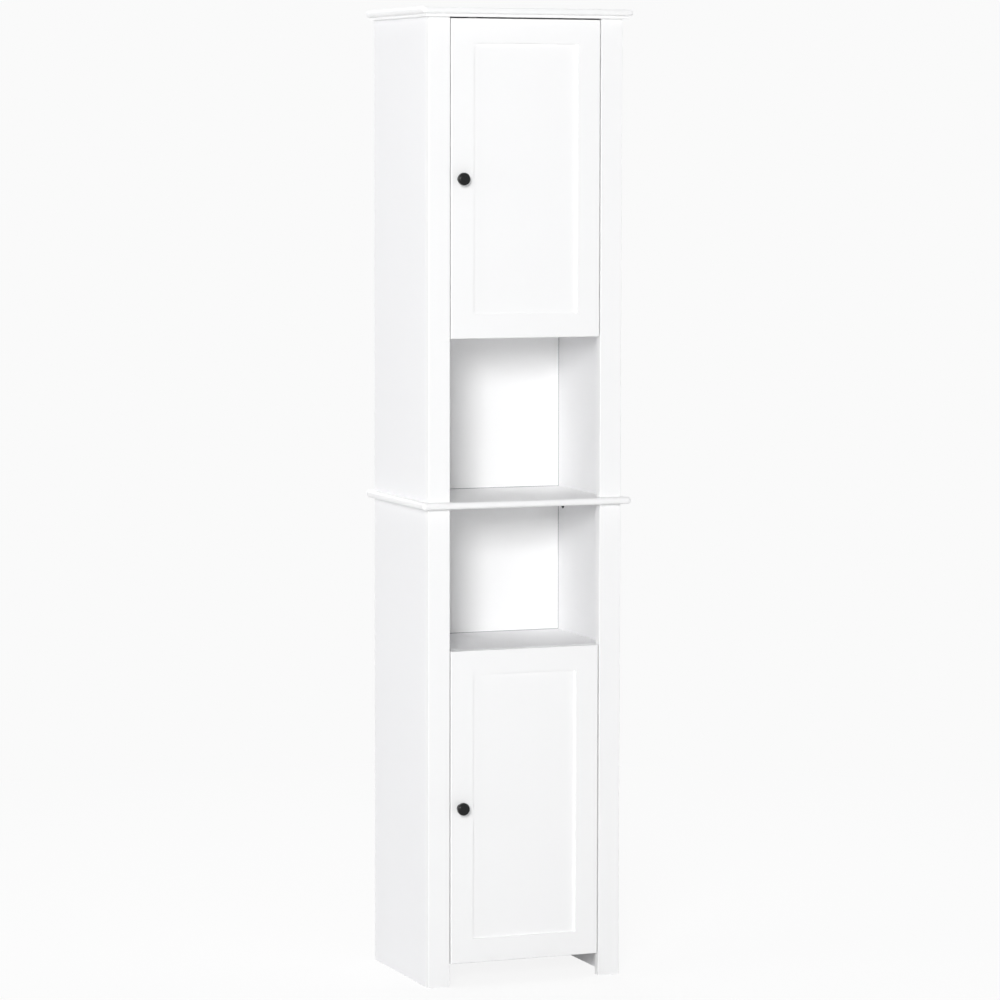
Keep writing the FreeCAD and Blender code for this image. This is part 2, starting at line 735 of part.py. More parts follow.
screw = fastener(
    "screw_pattern", "screw_head_radius", "screw_head_height", "screw_radius", "screw_length"
)
strike_screw = fastener(
    "strike_screw_pattern",
    "screw_head_radius",
    "strike_head_thick",
    "screw_radius",
    "screw_length",
)
knob_screw = fastener(
    "knob_screw_pattern",
    "machine_head_radius",
    "machine_head_height",
    "machine_radius",
    "door_thick + knob_thread - hole_slack",
    False,
)
board_screw = fastener(
    "board_screw_pattern",
    "board_screw_head",
    "board_screw_sink",
    "board_screw_radius",
    "mid_thick - board_screw_sink + board_screw_bite",
)
cam_bolt = fastener(
    "cam_bolt_pattern",
    "bolt_head_radius",
    "bolt_head_length",
    "bolt_radius",
    "cam_setback + bolt_seat - bolt_head_length / 2",
    False,
)

dowel = new_body("dowel_pattern", node=False)
revolve(
    dowel,
    (
        ("0", "0"),
        ("dowel_radius - dowel_bevel", "0"),
        ("dowel_radius", "dowel_bevel"),
        ("dowel_radius", "dowel_length - dowel_bevel"),
        ("dowel_radius - dowel_bevel", "dowel_length"),
        ("0", "dowel_length"),
    ),
)

# A cam lock from its face, its throat open to +Z.
cam = new_body("cam_pattern", node=False)
disc = new_sketch(cam, "XZ_Plane")
circle(disc, "cam_radius - fit_play")
pad(cam, disc, "cam_depth", True)
throat = new_sketch(cam, "YZ_Plane", "joint_line - cam_slot / 2", "-cam_slot / 2", "cam_slot / 2")
rectangle(throat, "cam_slot", "cam_slot / 2 + cam_radius")
pocket(cam, throat, "cam_slot")
key = new_sketch(cam, "XZ_Plane", "-cam_key_long / 2", "-cam_key_wide / 2")
rectangle(key, "cam_key_long", "cam_key_wide")
pocket(cam, key, "cam_key_deep")

# A shelf pin from the free end of its flat seat, its stem pointing along +Y.
peg = new_body("peg_pattern", node=False)
seat = new_sketch(peg, "XZ_Plane", "-peg_seat_width / 2", "-peg_radius")
rectangle(seat, "peg_seat_width", "2 * peg_radius")
pad(peg, seat, "peg_reach", True)
stem = new_sketch(peg, "XZ_Plane")
circle(stem, "peg_radius")
pad(peg, stem, "peg_reach + peg_depth", True)

# A hinge arm from the left of its eye: the eye, the crank and the flange that is screwed down.
arm = new_body("hinge_arm_pattern", node=False)
strip = new_sketch(arm, "XY_Plane")
outline(
    strip,
    (
        ("0", "0"),
        ("strip_thick", "0"),
        ("strip_thick", "crank_reach - strip_thick"),
        ("arm_width", "crank_reach - strip_thick"),
        ("arm_width", "arm_length"),
        ("arm_width - strip_thick", "arm_length"),
        ("arm_width - strip_thick", "crank_reach"),
        ("0", "crank_reach"),
    ),
)
pad(arm, strip, "strip_height")


def bend(box):
    """The upright edges outside the strip's two bends."""
    first = near(box.XMin, 0) and near(box.YMin, value("crank_reach"))
    reach = value("crank_reach - strip_thick")
    second = near(box.XMin, value("arm_width")) and near(box.YMin, reach)
    return upright(box) and (first or second)


ease(arm, "bend_round", bend)
eye = new_sketch(arm, "XY_Plane")
circle(eye, "eye_radius", "eye_radius")
pad(arm, eye, "strip_height")
bore = new_sketch(arm, "XY_Plane")
circle(bore, "pin_radius + pin_play", "eye_radius")
pocket(arm, bore, "strip_height", True)
screw_places = [(screw_back, "half_strip") for screw_back in ARM_SCREWS]
holes(arm, "YZ_Plane", screw_places, SCREW_HOLE, "strip_thick", "arm_width")

# A hinge cup from the floor of its bore: slotted for the arm, dished, and flanged at the rear.
cup = new_body("hinge_cup_pattern", node=False)
casting = new_sketch(cup, "XZ_Plane")
circle(casting, "cup_radius - fit_play")
pad(cup, casting, "cup_depth", True)
flange = new_sketch(cup, "XZ_Plane", lift="-cup_depth")
circle(flange, "flange_radius")
pad(cup, flange, "flange_thick", True)
ears = new_sketch(cup, "XZ_Plane", "-flange_width / 2", "-flange_length / 2", "-cup_depth")
rectangle(ears, "flange_width", "flange_length")
pad(cup, ears, "flange_thick", True)


def ear_corner(box):
    """The corners of the ears."""
    through = near(box.XMin, box.XMax) and near(box.ZMin, box.ZMax)
    return through and near(abs(box.ZMin), value("flange_length / 2"))


ease(cup, "ear_round", ear_corner)
dish = new_sketch(cup, "XZ_Plane", lift="-cup_depth - flange_thick")
circle(dish, "cup_radius - cup_rim")
pocket(cup, dish, "cup_depth + flange_thick - pin_rise - pin_radius - pin_cover", True)
slot = new_sketch(cup, "XZ_Plane", "pin_offset - eye_radius - arm_play", "-half_slot")
rectangle(slot, "flange_radius", "2 * half_slot")
pocket(cup, slot, "cup_depth + flange_thick")
pin_bore = new_sketch(cup, "XY_Plane", lift="cup_radius")
circle(pin_bore, "pin_radius", "pin_offset", "pin_rise")
pocket(cup, pin_bore, "cup_radius + pin_length / 2")
ear_screws = [("0", f"{sign}cup_screw_spacing / 2") for sign in ("-", "")]
holes(cup, "XZ_Plane", ear_screws, SCREW_HOLE, "flange_thick", "-cup_depth")

pin = new_body("hinge_pin_pattern", node=False)
rod = new_sketch(pin, "XY_Plane")
circle(rod, "pin_radius")
pad(pin, rod, "pin_length")


# ---------------------------------------------------------------- fittings in their places


def both_sides(x, y, z, above=UP):
    """The same fitting at both sides, pointing outward, and its mirror place."""
    return [(f"-({x})", y, z, aim(LEFT, above)), (x, y, z, aim(RIGHT, above))]


# Heights of the bolts through the ends of the fixed boards, with the face that their cams enter.
BOARD_LINES = (
    ("upper_floor - joint_line", "upper_floor", DOWN),
    ("toe_height + joint_line", "toe_height", UP),
    ("lower_ceiling + joint_line", "lower_ceiling", UP),
)
SIDE_TOPS = ("top_underside", "lower_side_height")
SIDE_LINE = "inner_half + joint_line"

cams, bolts, dowels, screws = [], [], [], []
for top in SIDE_TOPS:
    for place_back in BOLT_PLACES:
        cams += both_sides("inner_half", place_back, f"{top} - cam_setback")
        bolt_z = f"{top} - cam_setback - bolt_head_length / 2"
        bolts += [(f"{sign}({SIDE_LINE})", place_back, bolt_z, aim(UP, FRONT)) for sign in "-+"]
for line, face, inward in BOARD_LINES:
    cam_x = "inner_half - cam_setback"
    for sign, outward in (("-", LEFT), ("+", RIGHT)):
        cams.append((f"{sign}({cam_x})", "joint_middle", face, aim(inward, outward)))
    bolts += both_sides("inner_half - cam_setback - bolt_head_length / 2", "joint_middle", line)
    for place_back in DOWEL_PLACES:
        dowels += both_sides("inner_half - dowel_deep", place_back, line)
for height in ("top_underside", "toe_height + rail_height"):
    rail_line = f"{height} - rail_height / 2"
    dowels += both_sides("inner_half - dowel_deep", "rail_dowel", rail_line)
DOWEL_TOPS = (
    ("top_underside", "dowel_front"),
    ("top_underside", "dowel_rear"),
    ("lower_side_height", "dowel_front"),
    ("mid_top + dowel_deep - dowel_shallow", "dowel_rear"),
)
for top, place_back in DOWEL_TOPS:
    for sign in "-+":
        foot = f"{top} - dowel_deep"
        dowels.append((f"{sign}({SIDE_LINE})", place_back, foot, aim(UP, FRONT)))
for sign in "-+":
    x = f"{sign}({SIDE_LINE})"
    screws.append((x, "joint_middle", "lower_side_height", aim(UP, FRONT)))

copies("cam_locks", cam, cams)
copies("cam_bolts", cam_bolt, bolts)
copies("wooden_dowels", dowel, dowels)
copies("mid_board_screws", board_screw, screws)

arm_screws, catch_screws = [], []
for cupboard, door_base, ceiling in CUPBOARDS:
    peg_z = f"{cupboard}_floor + peg_level - peg_radius"
    pegs = [
        place_of_peg
        for place_back in PEG_PLACES
        for place_of_peg in both_sides("inner_half - peg_reach", place_back, peg_z)
    ]
    copies(f"{cupboard}_shelf_pins", peg, pegs)
    arms = []
    for height in PIN_HEIGHTS:
        z = f"{door_base} + {height}"
        arms.append(("pin_x - eye_radius", "pin_setback", f"{z} - half_strip", aim(BACK)))
        for screw_back in ARM_SCREWS:
            x = "opening_half - strip_thick - screw_head_height"
            arm_screws.append((x, f"pin_setback + {screw_back}", z, aim(RIGHT)))
    copies(f"{cupboard}_hinge_arms", arm, arms)
    z = f"{ceiling} - catch_tail_thick - screw_head_height"
    catch_screws.append(("catch_x", "catch_screw_place", z, aim(UP, FRONT)))
copies("hinge_arm_screws", screw, arm_screws)
copies("catch_screws", screw, catch_screws)


# ---------------------------------------------------------------- magnetic catches


def case_edge(box):
    """The edges along the case, clear of the board above."""
    along = near(box.XMin, box.XMax) and near(box.ZMin, box.ZMax)
    return along and near(box.ZMin, 0) and near(box.YMin, 0)


magnets, poles = [], []
for cupboard, door_base, ceiling in CUPBOARDS:
    case = block(
        f"{cupboard}_catch",
        "catch_width",
        "catch_depth",
        "catch_height",
        "catch_x - catch_width / 2",
        "case_front",
        f"{ceiling} - catch_height",
    )
    ease(case, "catch_round", case_edge)
    tail = new_sketch(case, "XY_Plane", "0", "catch_depth", "catch_height - catch_tail_thick")
    rectangle(tail, "catch_width", "catch_tail")
    pad(case, tail, "catch_tail_thick")
    tail_screw = [("catch_width / 2", "catch_depth + catch_tail / 2")]
    tail_level = "catch_height - catch_tail_thick"
    holes(case, "XY_Plane", tail_screw, SCREW_HOLE, "catch_tail_thick", tail_level, True)
    stack_side, stack_foot = "(catch_width - pole_width) / 2", "(catch_height - stack_height) / 2"
    cavity = new_sketch(case, "XZ_Plane", stack_side, stack_foot)
    rectangle(cavity, "pole_width", "stack_height")
    pocket(case, cavity, "pole_depth - pole_proud")
    middle = f"{ceiling} - catch_height / 2"
    magnets.append(("-pole_width / 2 + catch_x", "case_front", f"{middle} - magnet_thick / 2"))
    for foot in (f"{middle} - stack_height / 2", f"{middle} + magnet_thick / 2"):
        poles.append(("-pole_width / 2 + catch_x", "pole_front", foot))

magnet = new_body("magnet_pattern", node=False)
base = new_sketch(magnet, "XY_Plane")
rectangle(base, "pole_width", "pole_depth - pole_proud")
pad(magnet, base, "magnet_thick")
pole = new_body("pole_pattern", node=False)
base = new_sketch(pole, "XY_Plane")
rectangle(base, "pole_width", "pole_depth")
pad(pole, base, "pole_thick")
copies("catch_magnets", magnet, [(*corner, aim(BACK)) for corner in magnets])
copies("catch_poles", pole, [(*corner, aim(BACK)) for corner in poles])


# ---------------------------------------------------------------- doors


def door_front_edge(box):
    """Edges that lie in the front face of a door member."""
    return near(box.YMin, 0) and near(box.YMax, 0)


def door_stile(label, x, base, outer, groove_x):
    """A door stile with its outer front edges eased and a groove for the panel."""
    body = block(label, "member_width", "door_thick", "door_height", x, "0", base)

    def eased(box):
        if not door_front_edge(box):
            return False
        return not upright(box) or near(box.XMin, value(outer))

    ease(body, "door_round", eased)
    groove = new_sketch(body, "XY_Plane", groove_x, "panel_inset")
    rectangle(groove, "tongue", "panel_thick")
    pocket(body, groove, "door_height", True)
    return body


def door_rail(label, base, outer, groove_z, tongue_z):
    """A door rail with a tongue at both ends and a groove for the panel."""
    body = new_body(label, "door_left + member_width - tongue", "0", base)
    bar = new_sketch(body, "XY_Plane", "tongue")
    rectangle(bar, "rail_length", "door_thick")
    pad(body, bar, "member_width")

    def eased(box):
        return door_front_edge(box) and near(box.ZMin, value(outer)) and near(box.ZMin, box.ZMax)

    ease(body, "door_round", eased)
    tongues = new_sketch(body, "XY_Plane", "0", "panel_inset", tongue_z)
    rectangle(tongues, "rail_length + 2 * tongue", "panel_thick")
    pad(body, tongues, "member_width - tongue")
    groove = new_sketch(body, "XY_Plane", "0", "panel_inset", groove_z)
    rectangle(groove, "rail_length + 2 * tongue", "panel_thick")
    pocket(body, groove, "tongue", True)
    return body


knob_neck_top = "knob_reach - knob_head_thick"
KNOB_OUTLINE = (
    ("machine_radius + fit_play", "0"),
    ("knob_foot_radius", "0"),
    ("knob_foot_radius", "knob_foot_thick"),
    ("knob_neck_radius", "knob_foot_thick"),
    ("knob_neck_radius", knob_neck_top),
    ("knob_head_radius", knob_neck_top),
    ("knob_head_radius", "knob_reach"),
    ("0", "knob_reach"),
    ("0", "knob_thread"),
    ("machine_radius + fit_play", "knob_thread"),
)
# Rounds of the knob: radius, height of the edge, radius of the edge.
KNOB_ROUNDS = (
    ("knob_front_round", "knob_reach", "knob_head_radius"),
    ("knob_rear_round", knob_neck_top, "knob_head_radius"),
    ("knob_foot_round", "knob_foot_thick", "knob_foot_radius"),
)


def make_knob(label, x, z):
    """A turned knob: foot, neck and mushroom head, standing out from the door."""
    body = new_body(label, x, "0", z)
    body.Placement.Rotation = aim(FRONT)
    revolve(body, KNOB_OUTLINE)
    for radius, height, edge_radius in KNOB_ROUNDS:

        def ring(box):
            level = near(box.YMin, value(height)) and near(box.YMax, value(height))
            return level and near(box.XMax, value(edge_radius))

        ease(body, radius, ring)


for cupboard, door_base, ceiling in CUPBOARDS:
    name = f"{cupboard}_door"
    middle = f"{door_base} + door_height / 2"

    knob_stile = door_stile(
        f"{name}_knob_stile", "door_left", door_base, "0", "member_width - tongue"
    )
    knob_hole = [("knob_inset", "door_height / 2")]
    hole_radius = "machine_radius + fit_play"
    holes(knob_stile, "XZ_Plane", knob_hole, hole_radius, "door_thick")

    hinge_stile = door_stile(
        f"{name}_hinge_stile", "door_right - member_width", door_base, "member_width", "0"
    )
    cup_x, rear = "member_width - cup_inset", "-door_thick"
    cups = [(cup_x, height) for height in PIN_HEIGHTS]
    holes(hinge_stile, "XZ_Plane", cups, "cup_radius", "cup_depth", rear, True)
    for height in PIN_HEIGHTS:
        notch = new_sketch(hinge_stile, "XZ_Plane", cup_x, f"{height} - half_slot", rear)
        rectangle(notch, "cup_inset", "2 * half_slot")
        pocket(hinge_stile, notch, "cup_depth", True)
    pilots = [(cup_x, f"{z} {sign} cup_screw_spacing / 2") for z in PIN_HEIGHTS for sign in "-+"]
    bite = "screw_length - flange_thick + hole_slack"
    holes(hinge_stile, "XZ_Plane", pilots, SCREW_HOLE, bite, rear, True)

    rail_base = f"{door_base} + door_height - member_width"
    top_rail = door_rail(f"{name}_top_rail", rail_base, "member_width", "0", "tongue")
    strike_x, strike_z = "catch_inset - member_width + tongue", f"{ceiling} - catch_height / 2"
    pilot = [(strike_x, f"{strike_z} - ({rail_base})")]
    bite = "screw_length - strike_thick + strike_head_thick + hole_slack"
    holes(top_rail, "XZ_Plane", pilot, SCREW_HOLE, bite, rear, True)
    door_rail(f"{name}_bottom_rail", door_base, "0", "member_width - tongue", "0")

    block(
        f"{name}_panel",
        "rail_length + 2 * (tongue - tongue_slack)",
        "panel_thick",
        "door_height - 2 * (member_width - tongue + tongue_slack)",
        "door_left + member_width - tongue + tongue_slack",
        "panel_inset",
        f"{door_base} + member_width - tongue + tongue_slack",
    )

    knob_x = "door_left + knob_inset"
    make_knob(f"{cupboard}_knob", knob_x, middle)
    head_rear = "door_thick + machine_head_height"
    copies(f"{cupboard}_knob_screw", knob_screw, [(knob_x, head_rear, middle, aim(FRONT))])

    strike = block(
        f"{cupboard}_strike_plate",
        "strike_width",
        "strike_thick",
        "strike_height",
        "catch_x - strike_width / 2",
        "door_thick",
        f"{strike_z} - strike_height / 2",
    )

    def strike_corner(box):
        return near(box.XMin, box.XMax) and near(box.ZMin, box.ZMax)

    ease(strike, "strike_round", strike_corner)
    centre, face = [("strike_width / 2", "strike_height / 2")], "-strike_thick"
    holes(strike, "XZ_Plane", centre, SCREW_HOLE, "strike_thick")
    head_hole = "screw_head_radius + fit_play"
    holes(strike, "XZ_Plane", centre, head_hole, "strike_head_thick", face, True)
    place_of_screw = ("catch_x", "door_thick + strike_thick", strike_z, aim(FRONT))
    copies(f"{cupboard}_strike_screw", strike_screw, [place_of_screw])

    cups, pins, cup_screws = [], [], []
    for height in PIN_HEIGHTS:
        z = f"{door_base} + {height}"
        cups.append(("door_right - cup_inset", "door_thick - cup_depth", z, aim(BACK)))
        pins.append(("pin_x", "pin_setback", f"{z} - pin_length / 2", aim(BACK)))
        for sign in "-+":
            y = "door_thick + flange_thick + screw_head_height"
            screw_z = f"{z} {sign} cup_screw_spacing / 2"
            cup_screws.append(("door_right - cup_inset", y, screw_z, aim(FRONT)))
    copies(f"{cupboard}_hinge_cups", cup, cups)
    copies(f"{cupboard}_hinge_pins", pin, pins)
    copies(f"{cupboard}_cup_screws", screw, cup_screws)


# ---------------------------------------------------------------- check and write

doc.recompute()
faulty = [thing.Label for thing in doc.Objects if {"Invalid", "Error"} & set(thing.State)]
faulty += [node.Label for node in NODES if node.Shape.isNull() or not node.Shape.isValid()]
if faulty:
    raise RuntimeError("faulty: " + ", ".join(faulty))
os.makedirs("parts", exist_ok=True)
for node in NODES:
    node.Shape.exportStep(f"parts/{node.Label}.step")
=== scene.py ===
"""The tall bathroom cabinet's finishes, fittings, light and camera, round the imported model.

Metres, and radians except where a comment says degrees. +X is right, -Y is the front with the
doors, +Z is up, the floor is at z = 0.
"""

import json
import math

import bmesh
import bpy
from mathutils import Matrix, Vector


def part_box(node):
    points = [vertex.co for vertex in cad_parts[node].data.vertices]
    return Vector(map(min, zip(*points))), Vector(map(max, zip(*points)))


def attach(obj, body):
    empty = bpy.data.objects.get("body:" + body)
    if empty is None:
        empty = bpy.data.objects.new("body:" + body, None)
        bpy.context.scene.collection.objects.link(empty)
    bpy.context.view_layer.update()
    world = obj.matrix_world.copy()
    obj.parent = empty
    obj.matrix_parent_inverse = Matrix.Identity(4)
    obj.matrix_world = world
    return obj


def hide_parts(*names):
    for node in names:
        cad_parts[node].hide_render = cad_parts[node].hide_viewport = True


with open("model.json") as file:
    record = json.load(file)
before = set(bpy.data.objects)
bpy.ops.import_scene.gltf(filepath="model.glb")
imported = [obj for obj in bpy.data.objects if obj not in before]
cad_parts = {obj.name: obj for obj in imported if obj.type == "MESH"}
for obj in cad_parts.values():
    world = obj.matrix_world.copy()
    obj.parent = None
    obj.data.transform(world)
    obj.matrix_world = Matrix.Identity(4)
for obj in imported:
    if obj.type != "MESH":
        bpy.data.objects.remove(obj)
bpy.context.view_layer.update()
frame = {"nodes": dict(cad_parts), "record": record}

NODES = frame["nodes"]
CUPBOARDS = ("upper", "lower")
MM = 0.001

# ---------------------------------------------------------------- colours

LACQUER_WHITE = "F9F9F9"
LACQUER_LIGHT = "FAFAFA"
LACQUER_DARK = "F8F8F8"
FOIL_WHITE = "F8F8F9"
FOIL_LIGHT = "F9F9FA"
FOIL_DARK = "F7F7F8"
HARDBOARD_WHITE = "F8F8F8"
HARDBOARD_BROWN = "B7946A"
HARDBOARD_DARK = "9C7A52"
# Painted shade: the dark hairline of the back panels' clearance gaps.
CLEARANCE_SHADE = "77777A"
KNOB_BLACK = "0C0C0D"
NICKEL = "C9C5BC"
PIN_STEEL = "B4B4B6"
ZINC_PLATE = "C2C4C6"
SHEET_STEEL = "B2B0AC"
CAST_ZINC = "4A4B4E"
CAST_ZINC_DARK = "2B2C2E"
BEECH = "C99B66"
BEECH_RAY = "A87A4C"
MOULDED_WHITE = "ECECEA"
FERRITE = "26262A"
BACKDROP = "FAFAFA"
FLOOR_GREY = "CFCFCF"
FLOOR_GLOW = "FFFFFF"
STUDIO_AIR = "FBFCFF"


def linear(code):
    """An sRGB hex colour as linear red, green, blue and alpha."""
    channels = [int(code[i : i + 2], 16) / 255 for i in (0, 2, 4)]
    return [c / 12.92 if c <= 0.04045 else ((c + 0.055) / 1.055) ** 2.4 for c in channels] + [1]


# ---------------------------------------------------------------- nodes and objects

# A Mix node repeats its sockets' names, so the ones for colours are told by their places.
FACTOR, FIRST, SECOND, BLEND = 0, 6, 7, 2


def node(tree, kind, inputs=(), out=None, **settings):
    """Adds a node with its settings and links, and gives the output called out, or the node.

    An input is a value, or the output that it is linked to.
    """
    made = tree.nodes.new(kind)
    for name, setting in settings.items():
        setattr(made, name, setting)
    for key, source in dict(inputs).items():
        if isinstance(source, bpy.types.NodeSocket):
            tree.links.new(source, made.inputs[key])
        else:
            made.inputs[key].default_value = source
    return made if out is None else made.outputs[out]


def add_object(name, data):
    """An object with the data, linked into the scene."""
    made = bpy.data.objects.new(name, data)
    bpy.context.scene.collection.objects.link(made)
    return made


# ---------------------------------------------------------------- finishes

# A noise's Scale is 1 over the size of its features, and a Mapping's Scale under 1 draws them
# out along that axis.


def new_finish(name, colour, roughness, metallic=0.0, **sockets):
    """A material, its tree, its Principled shader with plain values, and Object coordinates."""
    material = bpy.data.materials.new(name)
    material.use_nodes = True
    tree = material.node_tree
    tree.nodes.clear()
    shader = node(tree, "ShaderNodeBsdfPrincipled")
    shader.inputs["Base Color"].default_value = linear(colour)
    shader.inputs["Roughness"].default_value = roughness
    shader.inputs["Metallic"].default_value = metallic
    for socket, setting in sockets.items():
        shader.inputs[socket.replace("_", " ")].default_value = setting
    node(tree, "ShaderNodeOutputMaterial", {"Surface": shader.outputs[0]})
    place = node(tree, "ShaderNodeTexCoord", out="Object")
    return material, tree, shader, place


def vary(shader, **sources):
    """Links patterns to the shader's inputs, in place of its plain values."""
    for socket, source in sources.items():
        shader.id_data.links.new(source, shader.inputs[socket.replace("_", " ")])


def satin_lacquer():
    """Sprayed satin lacquer on fibreboard: even white, a soft sheen and a faint orange peel."""
    cloud_size, sheen_size = 180 * MM, 40 * MM
    peel_size, peel_depth = 2.4 * MM, 0.02 * MM
    material, tree, shader, place = new_finish("satin_white_lacquer", LACQUER_WHITE, 0.4)
    cloud = node(
        tree,
        "ShaderNodeTexNoise",
        {"Vector": place, "Scale": 1 / cloud_size, "Detail": 1.0},
        "Fac",
    )
    tone = node(
        tree,
        "ShaderNodeMix",
        {FACTOR: cloud, FIRST: linear(LACQUER_LIGHT), SECOND: linear(LACQUER_DARK)},
        BLEND,
        data_type="RGBA",
    )
    sheen = node(
        tree,
        "ShaderNodeTexNoise",
        {"Vector": place, "Scale": 1 / sheen_size, "Detail": 2.0},
        "Fac",
    )
    roughness = node(
        tree, "ShaderNodeMapRange", {"Value": sheen, "To Min": 0.36, "To Max": 0.46}, "Result"
    )
    peel = node(
        tree,
        "ShaderNodeTexNoise",
        {"Vector": place, "Scale": 1 / peel_size, "Detail": 1.0},
        "Fac",
    )
    relief = node(
        tree, "ShaderNodeBump", {"Height": peel, "Distance": peel_depth, "Strength": 0.5}, "Normal"
    )
    vary(shader, Base_Color=tone, Roughness=roughness, Normal=relief)
    return material


def foil_board():
    """White melamine foil on board: a fine pressed pore that runs up the board."""
    cloud_size = 220 * MM
    pore_size, pore_depth = 1.1 * MM, 0.03 * MM
    material, tree, shader, place = new_finish("white_foil_board", FOIL_WHITE, 0.46)
    cloud = node(
        tree,
        "ShaderNodeTexNoise",
        {"Vector": place, "Scale": 1 / cloud_size, "Detail": 1.0},
        "Fac",
    )
    tone = node(
        tree,
        "ShaderNodeMix",
        {FACTOR: cloud, FIRST: linear(FOIL_LIGHT), SECOND: linear(FOIL_DARK)},
        BLEND,
        data_type="RGBA",
    )
    upward = node(tree, "ShaderNodeMapping", {"Vector": place, "Scale": (1, 1, 0.12)}, "Vector")
    pore = node(
        tree,
        "ShaderNodeTexNoise",
        {"Vector": upward, "Scale": 1 / pore_size, "Detail": 3.0, "Roughness": 0.6},
        "Fac",
    )
    roughness = node(
        tree, "ShaderNodeMapRange", {"Value": pore, "To Min": 0.4, "To Max": 0.54}, "Result"
    )
    relief = node(
        tree, "ShaderNodeBump", {"Height": pore, "Distance": pore_depth, "Strength": 0.45}, "Normal"
    )
    vary(shader, Base_Color=tone, Roughness=roughness, Normal=relief)
    return material


def clearance_shade_line(tree, place):
    """1 along the edges of the back panels, where they enter a side or stand on a board.

    The line, 0.8 mm wide, is painted shade of the gap. The real clearance is narrower, and too fine
    to show.
    """
    line_width = 0.8 * MM
    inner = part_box("upper_side_right")[0].x
    spot = node(tree, "ShaderNodeSeparateXYZ", {0: place}).outputs
    aside = node(tree, "ShaderNodeMath", {0: spot["X"]}, 0, operation="ABSOLUTE")
    line = node(
        tree, "ShaderNodeMath", {0: aside, 1: inner - line_width}, 0, operation="GREATER_THAN"
    )
    for board in ("mid_board", "lower_fixed_shelf"):
        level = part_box(board)[1].z + line_width / 2
        foot = node(
            tree,
            "ShaderNodeMath",
            {0: spot["Z"], 1: level, 2: line_width / 2},
            0,
            operation="COMPARE",
        )
        line = node(tree, "ShaderNodeMath", {0: line, 1: foot}, 0, operation="MAXIMUM")
    return line


def hardboard():
    """Thin hardboard: painted white in front, bare brown felted fibre behind.

    A dark hairline of painted shade marks the clearance at its edges.
    """
    felt_size, felt_depth = 1.6 * MM, 0.05 * MM
    drift_size = 60 * MM
    material, tree, shader, place = new_finish("white_faced_hardboard", HARDBOARD_WHITE, 0.5)
    facing = node(tree, "ShaderNodeNewGeometry", out="True Normal")
    rear = node(tree, "ShaderNodeSeparateXYZ", {0: facing}, "Y")
    bare = node(
        tree, "ShaderNodeMapRange", {"Value": rear, "From Min": 0.4, "From Max": 0.6}, "Result"
    )
    felt = node(
        tree,
        "ShaderNodeTexNoise",
        {"Vector": place, "Scale": 1 / felt_size, "Detail": 5.0, "Roughness": 0.65},
        "Fac",
    )
    drift = node(
        tree,
        "ShaderNodeTexNoise",
        {"Vector": place, "Scale": 1 / drift_size, "Detail": 2.0},
        "Fac",
    )
    mottle = node(tree, "ShaderNodeMath", {0: felt, 1: drift}, 0, operation="ADD")
    share = node(
        tree, "ShaderNodeMapRange", {"Value": mottle, "From Min": 0.6, "From Max": 1.4}, "Result"
    )
    brown = node(
        tree,
        "ShaderNodeMix",
        {FACTOR: share, FIRST: linear(HARDBOARD_DARK), SECOND: linear(HARDBOARD_BROWN)},
        BLEND,
        data_type="RGBA",
    )
    # Painted shade: the clearance gap at the edges drawn as a dark hairline on the white face.
    line = clearance_shade_line(tree, place)
    white = node(
        tree,
        "ShaderNodeMix",
        {FACTOR: line, FIRST: linear(HARDBOARD_WHITE), SECOND: linear(CLEARANCE_SHADE)},
        BLEND,
        data_type="RGBA",
    )
    tone = node(
        tree,
        "ShaderNodeMix",
        {FACTOR: bare, FIRST: white, SECOND: brown},
        BLEND,
        data_type="RGBA",
    )
    roughness = node(
        tree, "ShaderNodeMapRange", {"Value": bare, "To Min": 0.46, "To Max": 0.78}, "Result"
    )
    relief = node(
        tree, "ShaderNodeBump", {"Height": felt, "Distance": felt_depth, "Strength": 0.5}, "Normal"
    )
    vary(shader, Base_Color=tone, Roughness=roughness, Normal=relief)
    return material


def knob_black():
    """Satin black stoved paint on a turned knob: nearly black, with a tight soft highlight."""
    grain_size, grain_depth = 0.9 * MM, 0.008 * MM
    material, tree, shader, place = new_finish(
        "satin_black_paint",
        KNOB_BLACK,
        0.26,
        Specular_IOR_Level=0.1,
        Coat_Weight=0.4,
        Coat_Roughness=0.04,
    )
    grain = node(
        tree,
        "ShaderNodeTexNoise",
        {"Vector": place, "Scale": 1 / grain_size, "Detail": 2.0},
        "Fac",
    )
    roughness = node(
        tree, "ShaderNodeMapRange", {"Value": grain, "To Min": 0.22, "To Max": 0.32}, "Result"
    )
    relief = node(
        tree, "ShaderNodeBump", {"Height": grain, "Distance": grain_depth, "Strength": 0.5}, "Normal"
    )
    vary(shader, Roughness=roughness, Normal=relief)
    return material


def brushed_plate(name, colour, roughness, line_size):
    """Plated or plain steel with the lines of the sheet it was pressed from.

    The lines are drawn coarser than the real ones.
    """
    line_depth = 0.01 * MM
    material, tree, shader, place = new_finish(name, colour, roughness, 1.0)
    upward = node(tree, "ShaderNodeMapping", {"Vector": place, "Scale": (1, 1, 0.05)}, "Vector")
    line = node(
        tree,
        "ShaderNodeTexNoise",
        {"Vector": upward, "Scale": 1 / line_size, "Detail": 3.0},
        "Fac",
    )
    gloss = node(
        tree,
        "ShaderNodeMapRange",
        {"Value": line, "To Min": roughness - 0.08, "To Max": roughness + 0.12},
        "Result",
    )
    relief = node(
        tree, "ShaderNodeBump", {"Height": line, "Distance": line_depth, "Strength": 0.4}, "Normal"
    )
    vary(shader, Roughness=gloss, Normal=relief)
    return material


